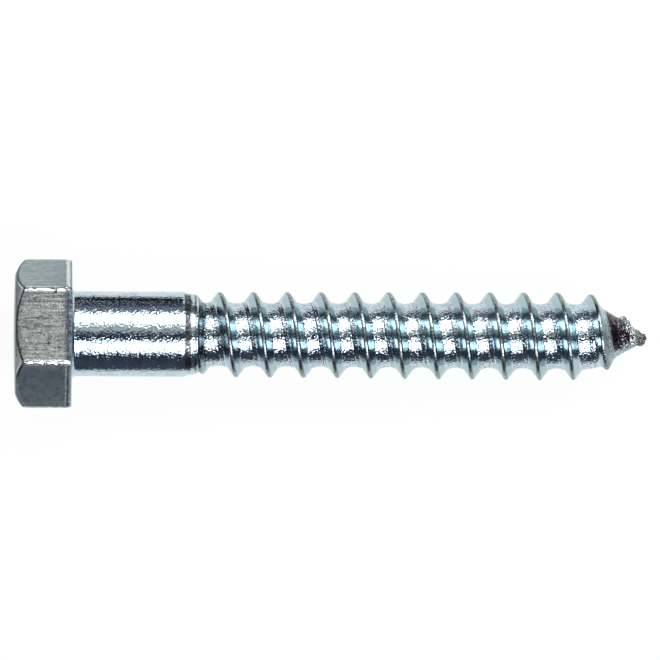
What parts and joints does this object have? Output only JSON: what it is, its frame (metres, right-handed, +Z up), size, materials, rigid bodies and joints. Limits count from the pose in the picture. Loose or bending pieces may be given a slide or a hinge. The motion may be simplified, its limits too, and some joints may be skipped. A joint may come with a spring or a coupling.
{
  "type": "lag screw",
  "caption": "Hex head lag screw for wood: plain shank, coarse right-hand thread and gimlet point, lying on its side.",
  "frame": {"origin": "centre of the bearing face under the head, on the screw's axis", "axes": "+X runs towards the point, which dips by 2.48 degrees because the screw rests on one flat of its head and one thread crest; +Z is up, out of the head's top flat; +Y completes the right-handed set"},
  "size_m": [0.0682, 0.0162, 0.0143],
  "materials": {
    "zinc_plated_steel": "bright zinc plating with a cool blue-grey cast, fine orange-peel grain and small nicks"
  },
  "bodies": {
    "root": {"lag_screw": "zinc_plated_steel"}
  },
  "joints": []
}
